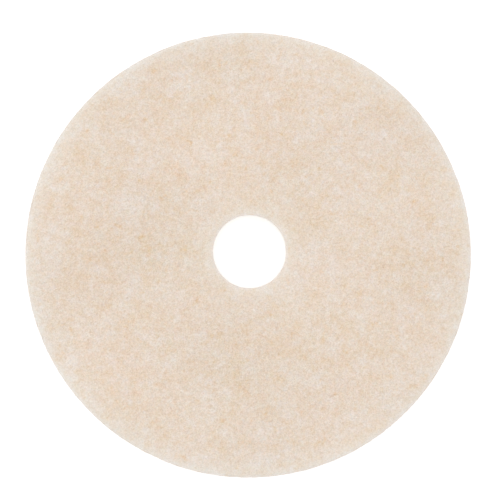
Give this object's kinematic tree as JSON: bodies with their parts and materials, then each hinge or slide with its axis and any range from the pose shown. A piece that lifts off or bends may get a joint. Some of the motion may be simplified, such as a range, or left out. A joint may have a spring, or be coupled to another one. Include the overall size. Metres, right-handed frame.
{
  "type": "floor polishing pad",
  "caption": "Thick round pad of lofty non-woven fibre web with a centre hole, driven by a rotary floor machine to polish hard floors.",
  "frame": {"origin": "middle of the underside, on the axis of the centre hole", "axes": "+Z along the axis of the hole, from the underside to the top face; X and Y lie in the underside and are alike"},
  "size_m": [0.508, 0.508, 0.0254],
  "materials": {
    "fibre_web": "matte lofty web of white and pale amber fibres"
  },
  "bodies": {
    "root": {"polishing_pad": "fibre_web"}
  },
  "joints": []
}
